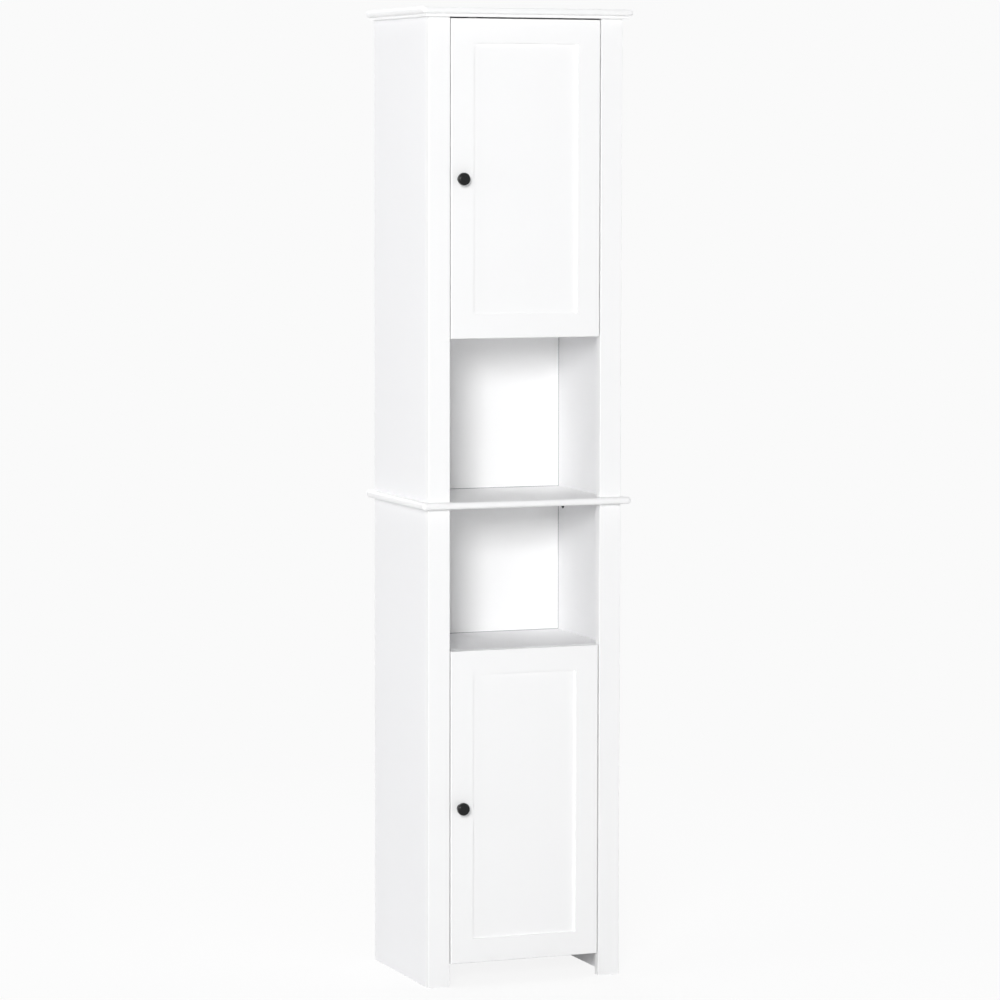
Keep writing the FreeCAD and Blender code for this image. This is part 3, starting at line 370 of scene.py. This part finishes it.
def cast_zinc():
    """Die-cast zinc left dull: dark grey, mottled by the mould."""
    mottle_size, mottle_depth = 1.2 * MM, 0.03 * MM
    material, tree, shader, place = new_finish("dull_cast_zinc", CAST_ZINC, 0.55, 0.7)
    mottle = node(
        tree,
        "ShaderNodeTexNoise",
        {"Vector": place, "Scale": 1 / mottle_size, "Detail": 4.0},
        "Fac",
    )
    tone = node(
        tree,
        "ShaderNodeMix",
        {FACTOR: mottle, FIRST: linear(CAST_ZINC_DARK), SECOND: linear(CAST_ZINC)},
        BLEND,
        data_type="RGBA",
    )
    relief = node(
        tree,
        "ShaderNodeBump",
        {"Height": mottle, "Distance": mottle_depth, "Strength": 0.5},
        "Normal",
    )
    vary(shader, Base_Color=tone, Normal=relief)
    return material


def beech_dowel():
    """Bare beech: pinkish tan, with short darker rays along the grain."""
    ray_size, ray_depth = 0.8 * MM, 0.05 * MM
    material, tree, shader, place = new_finish("bare_beech", BEECH, 0.62)
    grain = node(tree, "ShaderNodeMapping", {"Vector": place, "Scale": (0.15, 1, 0.15)}, "Vector")
    ray = node(
        tree,
        "ShaderNodeTexNoise",
        {"Vector": grain, "Scale": 1 / ray_size, "Detail": 3.0},
        "Fac",
    )
    share = node(
        tree, "ShaderNodeMapRange", {"Value": ray, "From Min": 0.35, "From Max": 0.6}, "Result"
    )
    tone = node(
        tree,
        "ShaderNodeMix",
        {FACTOR: share, FIRST: linear(BEECH_RAY), SECOND: linear(BEECH)},
        BLEND,
        data_type="RGBA",
    )
    relief = node(
        tree, "ShaderNodeBump", {"Height": ray, "Distance": ray_depth, "Strength": 0.4}, "Normal"
    )
    vary(shader, Base_Color=tone, Normal=relief)
    return material


def moulded_plastic(name, colour, roughness):
    """Moulded plastic: even, with the grain of a spark-eroded mould.

    The grain is drawn coarser than the real one.
    """
    grain_size, grain_depth = 0.5 * MM, 0.02 * MM
    material, tree, shader, place = new_finish(name, colour, roughness)
    grain = node(
        tree,
        "ShaderNodeTexNoise",
        {"Vector": place, "Scale": 1 / grain_size, "Detail": 2.0},
        "Fac",
    )
    gloss = node(
        tree,
        "ShaderNodeMapRange",
        {"Value": grain, "To Min": roughness - 0.05, "To Max": roughness + 0.06},
        "Result",
    )
    relief = node(
        tree, "ShaderNodeBump", {"Height": grain, "Distance": grain_depth, "Strength": 0.4}, "Normal"
    )
    vary(shader, Roughness=gloss, Normal=relief)
    return material


def sintered_ferrite():
    """Sintered ferrite: charcoal and matt, slightly granular."""
    grain_size, grain_depth = 0.4 * MM, 0.03 * MM
    material, tree, shader, place = new_finish("sintered_ferrite", FERRITE, 0.7, 0.2)
    grain = node(
        tree,
        "ShaderNodeTexNoise",
        {"Vector": place, "Scale": 1 / grain_size, "Detail": 4.0},
        "Fac",
    )
    relief = node(
        tree, "ShaderNodeBump", {"Height": grain, "Distance": grain_depth, "Strength": 0.6}, "Normal"
    )
    vary(shader, Normal=relief)
    return material


FINISHES = {
    "white_lacquer": satin_lacquer(),
    "white_board": foil_board(),
    "white_backboard": hardboard(),
    "black_knob": knob_black(),
    "nickel_plate": brushed_plate("nickel_plated_steel", NICKEL, 0.26, 0.5 * MM),
    "hinge_pin_steel": brushed_plate("ground_pin_steel", PIN_STEEL, 0.22, 0.3 * MM),
    "screw_steel": brushed_plate("zinc_plated_steel", ZINC_PLATE, 0.32, 0.4 * MM),
    "strike_steel": brushed_plate("plain_sheet_steel", SHEET_STEEL, 0.36, 0.6 * MM),
    "cam_zinc": cast_zinc(),
    "dowel_beech": beech_dowel(),
    "white_plastic": moulded_plastic("white_moulded_plastic", MOULDED_WHITE, 0.42),
    "clear_plastic_pin": moulded_plastic("milky_moulded_plastic", MOULDED_WHITE, 0.3),
    "ferrite": sintered_ferrite(),
}

for part in frame["record"]["subparts"]:
    mesh = NODES[part["node"]].data
    mesh.materials.clear()
    mesh.materials.append(FINISHES[part["material_slot"]])


# ---------------------------------------------------------------- knobs

FOOT_RADIUS, FOOT_THICK = 7 * MM, 2 * MM
FOOT_BEVEL, FOOT_ROUND = 0.2 * MM, 0.6 * MM
NECK_RADIUS, NECK_WAIST = 4.5 * MM, 1.5 * MM
HEAD_THICK = 9 * MM
HEAD_FRONT_ROUND, HEAD_REAR_ROUND = 3.4 * MM, 1.6 * MM
DOME_RISE = 0.45 * MM
DOME_STEPS = 6


def lathe(name, profile, centre, along, segments=72):
    """A closed turned mesh from (radius, height) points, the first and last on the axis."""
    turn = Vector((0, 0, 1)).rotation_difference(Vector(along)).to_matrix().to_4x4()
    into_place = Matrix.Translation(centre) @ turn
    angles = [math.tau * step / segments for step in range(segments)]
    work = bmesh.new()
    rings = []
    for radius, height in profile:
        around = angles if radius else [0]
        spots = [(radius * math.cos(a), radius * math.sin(a), height) for a in around]
        rings.append([work.verts.new(spot) for spot in spots])
    for ring, following in zip(rings, rings[1:]):
        for step in range(segments):
            corners = [
                ring[step % len(ring)],
                ring[(step + 1) % len(ring)],
                following[(step + 1) % len(following)],
                following[step % len(following)],
            ]
            work.faces.new(dict.fromkeys(corners))
    bmesh.ops.recalc_face_normals(work, faces=work.faces)
    bmesh.ops.transform(work, matrix=into_place, verts=work.verts)
    mesh = bpy.data.meshes.new(name)
    work.to_mesh(mesh)
    work.free()
    for face in mesh.polygons:
        face.use_smooth = True
    return add_object(name, mesh)


def arc(centre, radius, start, end, steps):
    """Points of a rounded edge in a lathe's profile, angles in degrees from the radius axis."""
    return [
        (centre[0] + radius * math.cos(a), centre[1] + radius * math.sin(a))
        for a in (math.radians(start + (end - start) * step / steps) for step in range(steps + 1))
    ]


def make_knob(name, cad_node, body):
    """A turned knob: foot, waisted neck and mushroom head with a slightly domed face."""
    low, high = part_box(cad_node)
    reach = high.y - low.y
    head = (high.x - low.x) / 2
    under = reach - HEAD_THICK
    rim = head - HEAD_FRONT_ROUND
    face = reach - DOME_RISE
    foot_round = (FOOT_RADIUS - FOOT_ROUND, FOOT_THICK - FOOT_ROUND)
    waist = NECK_RADIUS + NECK_WAIST
    rear_round = (head - HEAD_REAR_ROUND, under + HEAD_REAR_ROUND)
    profile = [(0, 0), (FOOT_RADIUS - FOOT_BEVEL, 0), (FOOT_RADIUS, FOOT_BEVEL)]
    profile += arc(foot_round, FOOT_ROUND, 0, 90, 4)
    profile += arc((waist, FOOT_THICK + NECK_WAIST), NECK_WAIST, 270, 180, 5)
    profile += arc((waist, under - NECK_WAIST), NECK_WAIST, 180, 90, 5)
    profile += arc(rear_round, HEAD_REAR_ROUND, -90, 0, 6)
    profile += arc((rim, face - HEAD_FRONT_ROUND), HEAD_FRONT_ROUND, 0, 90, 10)
    for step in range(1, DOME_STEPS + 1):
        inward = step / DOME_STEPS
        profile.append((rim * (1 - inward), face + DOME_RISE * (1 - (1 - inward) ** 2)))
    centre = ((low.x + high.x) / 2, high.y, (low.z + high.z) / 2)
    made = lathe(name, profile, centre, (0, -1, 0))
    made.data.materials.append(FINISHES["black_knob"])
    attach(made, body)
    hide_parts(cad_node)


for cupboard in CUPBOARDS:
    make_knob(f"{cupboard}_turned_knob", f"{cupboard}_knob", f"{cupboard}_door")


# ---------------------------------------------------------------- screws

ALONG_X, ALONG_Y, ALONG_Z = 0, 1, 2
PAN_HEAD, PAN_RECESS = 1.4 * MM, 3.6 * MM
STRIKE_HEAD, STRIKE_RECESS = 0.6 * MM, 3.2 * MM
KNOB_SCREW_HEAD, KNOB_SCREW_RECESS = 2.4 * MM, 4.2 * MM
HEAD_SIDES, HEAD_RINGS, SHANK_SIDES = 40, 24, 20

# The ball that rounds a head, over the head's own radius and height, and a bar that cuts the
# recess, over the recess's length and the head's height. Half of the bar is outside the head.
BALL_WIDE, BALL_HIGH = 1.15, 1.6
BAR_WIDE, BAR_HIGH = 0.26, 1.1


def screw_tree():
    """Cross-headed screws: one on each point of a mesh, aimed along the point's own vector.

    A screw is drawn with the outside of its head at the origin and its shank along +Z.
    """
    tree = bpy.data.node_groups.new("cross_headed_screws", "GeometryNodeTree")
    sockets = tree.interface
    sockets.new_socket(name="Geometry", in_out="INPUT", socket_type="NodeSocketGeometry")
    for name in ("Head radius", "Head height", "Shank radius", "Shank length", "Recess"):
        sockets.new_socket(name=name, in_out="INPUT", socket_type="NodeSocketFloat")
    sockets.new_socket(name="Finish", in_out="INPUT", socket_type="NodeSocketMaterial")
    sockets.new_socket(name="Geometry", in_out="OUTPUT", socket_type="NodeSocketGeometry")
    given = node(tree, "NodeGroupInput").outputs
    head_radius, head_height = given["Head radius"], given["Head height"]
    shank_radius, shank_length = given["Shank radius"], given["Shank length"]
    recess = given["Recess"]

    # The pan head is what a drum and a flattened ball have in common.
    ball = node(
        tree,
        "GeometryNodeMeshUVSphere",
        {"Segments": HEAD_SIDES, "Rings": HEAD_RINGS, "Radius": head_radius},
        "Mesh",
    )
    slender = node(tree, "ShaderNodeMath", {0: head_height, 1: head_radius}, 0, operation="DIVIDE")
    flat = node(tree, "ShaderNodeMath", {0: slender, 1: BALL_HIGH}, 0, operation="MULTIPLY")
    ball_scale = node(tree, "ShaderNodeCombineXYZ", {0: BALL_WIDE, 1: BALL_WIDE, 2: flat}, 0)
    lift = node(tree, "ShaderNodeMath", {0: head_height, 1: BALL_HIGH}, 0, operation="MULTIPLY")
    ball_place = node(tree, "ShaderNodeCombineXYZ", {2: lift}, 0)
    pan = node(
        tree,
        "GeometryNodeTransform",
        {"Geometry": ball, "Translation": ball_place, "Scale": ball_scale},
        0,
    )
    drum = node(
        tree,
        "GeometryNodeMeshCylinder",
        {"Vertices": HEAD_SIDES, "Radius": head_radius, "Depth": head_height},
        "Mesh",
    )
    half_head = node(tree, "ShaderNodeMath", {0: head_height, 1: 0.5}, 0, operation="MULTIPLY")
    drum_place = node(tree, "ShaderNodeCombineXYZ", {2: half_head}, 0)
    disc = node(tree, "GeometryNodeTransform", {"Geometry": drum, "Translation": drum_place}, 0)
    head = node(tree, "GeometryNodeMeshBoolean", operation="INTERSECT")
    tree.links.new(pan, head.inputs["Mesh 2"])
    tree.links.new(disc, head.inputs["Mesh 2"])

    # The cross recess is cut by two bars.
    bar_wide = node(tree, "ShaderNodeMath", {0: recess, 1: BAR_WIDE}, 0, operation="MULTIPLY")
    bar_high = node(tree, "ShaderNodeMath", {0: head_height, 1: BAR_HIGH}, 0, operation="MULTIPLY")
    cut = node(
        tree, "GeometryNodeMeshBoolean", {"Mesh 1": head.outputs["Mesh"]}, operation="DIFFERENCE"
    )
    for bar_x, bar_y in ((recess, bar_wide), (bar_wide, recess)):
        bar_size = node(tree, "ShaderNodeCombineXYZ", {0: bar_x, 1: bar_y, 2: bar_high}, 0)
        bar = node(tree, "GeometryNodeMeshCube", {"Size": bar_size}, "Mesh")
        tree.links.new(bar, cut.inputs["Mesh 2"])

    rod = node(
        tree,
        "GeometryNodeMeshCylinder",
        {"Vertices": SHANK_SIDES, "Radius": shank_radius, "Depth": shank_length},
        "Mesh",
    )
    half_rod = node(tree, "ShaderNodeMath", {0: shank_length, 1: 0.5}, 0, operation="MULTIPLY")
    midway = node(tree, "ShaderNodeMath", {0: head_height, 1: half_rod}, 0, operation="ADD")
    rod_place = node(tree, "ShaderNodeCombineXYZ", {2: midway}, 0)
    shank = node(tree, "GeometryNodeTransform", {"Geometry": rod, "Translation": rod_place}, 0)
    screw = node(tree, "GeometryNodeJoinGeometry")
    tree.links.new(cut.outputs["Mesh"], screw.inputs["Geometry"])
    tree.links.new(shank, screw.inputs["Geometry"])

    aim = node(
        tree,
        "GeometryNodeInputNamedAttribute",
        {"Name": "aim"},
        "Attribute",
        data_type="FLOAT_VECTOR",
    )
    turn = node(tree, "FunctionNodeAlignRotationToVector", {"Vector": aim}, "Rotation", axis="Z")
    placed = node(
        tree,
        "GeometryNodeInstanceOnPoints",
        {"Points": given["Geometry"], "Instance": screw.outputs["Geometry"], "Rotation": turn},
        "Instances",
    )
    real = node(tree, "GeometryNodeRealizeInstances", {"Geometry": placed}, "Geometry")
    finished = node(
        tree,
        "GeometryNodeSetMaterial",
        {"Geometry": real, "Material": given["Finish"]},
        "Geometry",
    )
    node(tree, "NodeGroupOutput", {0: finished})
    return tree


SCREWS = screw_tree()


def solids(name):
    """The boxes of a CAD node's separate solids, as (lowest corner, highest corner)."""
    work = bmesh.new()
    work.from_mesh(NODES[name].data)
    bmesh.ops.remove_doubles(work, verts=work.verts, dist=0.001 * MM)
    boxes, seen = [], set()
    for start in work.verts:
        if start in seen:
            continue
        island, front = [], [start]
        seen.add(start)
        while front:
            vert = front.pop()
            island.append(vert.co.copy())
            for edge in vert.link_edges:
                other = edge.other_vert(vert)
                if other not in seen:
                    seen.add(other)
                    front.append(other)
        low = Vector(min(co[axis] for co in island) for axis in range(3))
        high = Vector(max(co[axis] for co in island) for axis in range(3))
        boxes.append((low, high))
    work.free()
    return boxes


def make_screws(name, cad_node, body, axis, head_low, head_height, recess):
    """Cross-headed screws in the places of a CAD node's screws, which lie along one axis.

    head_low says that the heads are at the low end of that axis.
    """
    boxes = solids(cad_node)
    points, along = [], Vector((0, 0, 0))
    along[axis] = 1 if head_low else -1
    for low, high in boxes:
        point = (low + high) / 2
        point[axis] = low[axis] if head_low else high[axis]
        points.append(point)
    low, high = boxes[0]
    across = (axis + 1) % 3
    head_radius = (high[across] - low[across]) / 2
    mesh = bpy.data.meshes.new(name + "_places")
    mesh.from_pydata(points, [], [])
    aims = mesh.attributes.new("aim", "FLOAT_VECTOR", "POINT")
    aims.data.foreach_set("vector", list(along) * len(points))
    carrier = add_object(name + "_places", mesh)
    modifier = carrier.modifiers.new("screws", "NODES")
    modifier.node_group = SCREWS
    sizes = {
        "Head radius": head_radius,
        "Head height": head_height,
        "Shank radius": head_radius / 2,
        "Shank length": high[axis] - low[axis] - head_height,
        "Recess": recess,
        "Finish": FINISHES["screw_steel"],
    }
    for item in SCREWS.interface.items_tree:
        if item.in_out == "INPUT" and item.name in sizes:
            modifier[item.identifier] = sizes[item.name]
    graph = bpy.context.evaluated_depsgraph_get()
    made = add_object(name, bpy.data.meshes.new_from_object(carrier.evaluated_get(graph)))
    made.data.name = name
    bpy.data.objects.remove(carrier)
    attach(made, body)
    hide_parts(cad_node)


for fitting, axis in (("hinge_arm", ALONG_X), ("catch", ALONG_Z)):
    make_screws(
        f"{fitting}_cross_screws",
        f"{fitting}_screws",
        "carcass",
        axis,
        head_low=True,
        head_height=PAN_HEAD,
        recess=PAN_RECESS,
    )

for cupboard in CUPBOARDS:
    for fitting, screws, head_height, recess in (
        ("cup", "screws", PAN_HEAD, PAN_RECESS),
        ("strike", "screw", STRIKE_HEAD, STRIKE_RECESS),
        ("knob", "screw", KNOB_SCREW_HEAD, KNOB_SCREW_RECESS),
    ):
        make_screws(
            f"{cupboard}_{fitting}_cross_{screws}",
            f"{cupboard}_{fitting}_{screws}",
            f"{cupboard}_door",
            ALONG_Y,
            head_low=False,
            head_height=head_height,
            recess=recess,
        )


# ---------------------------------------------------------------- camera

# Where the photograph was taken from, worked out from the cabinet's own edges. Yaw is to the
# right and pitch is down. The sensor's width and the lens are in millimetres.
CAMERA_PLACE = Vector((-2.64203, -6.71586, 1.46862))
CAMERA_YAW = 0.37515
CAMERA_PITCH = 0.08701
CAMERA_ROLL = 0.00166
SENSOR = 36.0
LENS = 147.335

camera_data = bpy.data.cameras.new("photo_camera")
camera_data.sensor_fit = "HORIZONTAL"
camera_data.sensor_width = SENSOR
camera_data.lens = LENS
camera = add_object("photo_camera", camera_data)
level = Vector((math.sin(CAMERA_YAW), math.cos(CAMERA_YAW), 0))
ahead = level * math.cos(CAMERA_PITCH) - Vector((0, 0, 1)) * math.sin(CAMERA_PITCH)
right = Vector((math.cos(CAMERA_YAW), -math.sin(CAMERA_YAW), 0))
up = right.cross(ahead)
turned = Matrix((right, up, -ahead)).transposed().to_4x4()
rolled = Matrix.Rotation(CAMERA_ROLL, 4, "Z")
camera.matrix_world = Matrix.Translation(CAMERA_PLACE) @ turned @ rolled
bpy.context.scene.camera = camera


# ---------------------------------------------------------------- stage and light

AMBIENT = 0.2
FLOOR_HALF = 14.0
SHADOW_SHARE = 0.13
SHADOW_NEAR, SHADOW_FAR = 0.5, 2.4


def show_backdrop(tree, matt, plain):
    """Shows the camera and reflections the plain backdrop in place of the matt stage."""
    path = node(tree, "ShaderNodeLightPath").outputs
    seen = path["Is Camera Ray"]
    for ray in ("Is Glossy Ray", "Is Transmission Ray"):
        seen = node(tree, "ShaderNodeMath", {0: seen, 1: path[ray]}, 0, operation="MAXIMUM")
    return node(tree, "ShaderNodeMixShader", {0: seen, 1: matt, 2: plain}, 0)


def make_world():
    """Weak even light, with the white backdrop behind everything."""
    world = bpy.data.worlds.new("studio")
    world.use_nodes = True
    bpy.context.scene.world = world
    tree = world.node_tree
    tree.nodes.clear()
    ambient = node(
        tree, "ShaderNodeBackground", {"Color": linear(STUDIO_AIR), "Strength": AMBIENT}, 0
    )
    white = node(tree, "ShaderNodeBackground", {"Color": linear(BACKDROP), "Strength": 1.0}, 0)
    node(tree, "ShaderNodeOutputWorld", {"Surface": show_backdrop(tree, ambient, white)})


def pale_matt_floor():
    """A pale matt floor, seen as the backdrop's white with, near the cabinet, its shadow."""
    material = bpy.data.materials.new("pale_matt_floor")
    material.use_nodes = True
    tree = material.node_tree
    tree.nodes.clear()
    matt = node(tree, "ShaderNodeBsdfDiffuse", {"Color": linear(FLOOR_GREY)}, 0)
    shaded = node(tree, "ShaderNodeBsdfDiffuse", {"Color": linear(BACKDROP)}, 0)
    place = node(tree, "ShaderNodeTexCoord", out="Object")
    away = node(tree, "ShaderNodeVectorMath", {0: place}, "Value", operation="LENGTH")
    reach = {"Value": away, "From Min": SHADOW_NEAR, "From Max": SHADOW_FAR}
    share = node(
        tree, "ShaderNodeMapRange", {**reach, "To Min": SHADOW_SHARE, "To Max": 0.0}, "Result"
    )
    far = node(tree, "ShaderNodeMapRange", reach, "Result")
    tone = node(
        tree,
        "ShaderNodeMix",
        {FACTOR: far, FIRST: linear(FLOOR_GLOW), SECOND: linear(BACKDROP)},
        BLEND,
        data_type="RGBA",
    )
    glow = node(tree, "ShaderNodeEmission", {"Color": tone, "Strength": 1.0}, 0)
    seen = node(tree, "ShaderNodeMixShader", {0: share, 1: glow, 2: shaded}, 0)
    node(tree, "ShaderNodeOutputMaterial", {"Surface": show_backdrop(tree, matt, seen)})
    return material


def make_floor():
    """The square floor that the cabinet stands on."""
    mesh = bpy.data.meshes.new("studio_floor")
    corners = [(x, y, 0) for x, y in ((-1, -1), (1, -1), (1, 1), (-1, 1))]
    mesh.from_pydata([Vector(corner) * FLOOR_HALF for corner in corners], [], [(0, 1, 2, 3)])
    mesh.materials.append(pale_matt_floor())
    add_object("studio_floor", mesh)


def softbox(name, azimuth, elevation, distance, size, power, aim_height=0.9):
    """A square lamp aimed at the cabinet's axis.

    Both angles are in degrees, and the azimuth goes from the front to the right.
    """
    data = bpy.data.lights.new(name, "AREA")
    data.shape = "SQUARE"
    data.size = size
    data.energy = power
    lamp = add_object(name, data)
    a, e = math.radians(azimuth), math.radians(elevation)
    away = Vector((math.sin(a) * math.cos(e), -math.cos(a) * math.cos(e), math.sin(e)))
    lamp.location = Vector((0, 0, aim_height)) + away * distance
    lamp.rotation_euler = (-away).to_track_quat("-Z", "Y").to_euler()


make_world()
make_floor()
softbox("key_softbox", azimuth=-28, elevation=14, distance=9.0, size=2.0, power=474)
softbox("left_softbox", azimuth=-85, elevation=10, distance=6.0, size=3.0, power=97)
softbox("low_softbox", azimuth=-22, elevation=4, distance=6.0, size=2.4, power=58, aim_height=0)
softbox("right_softbox", azimuth=92, elevation=10, distance=6.0, size=3.0, power=80)
softbox("back_softbox", azimuth=175, elevation=20, distance=6.0, size=3.0, power=110)
softbox("top_softbox", azimuth=180, elevation=78, distance=6.0, size=3.0, power=90)

scene = bpy.context.scene
scene.view_settings.view_transform = "Standard"
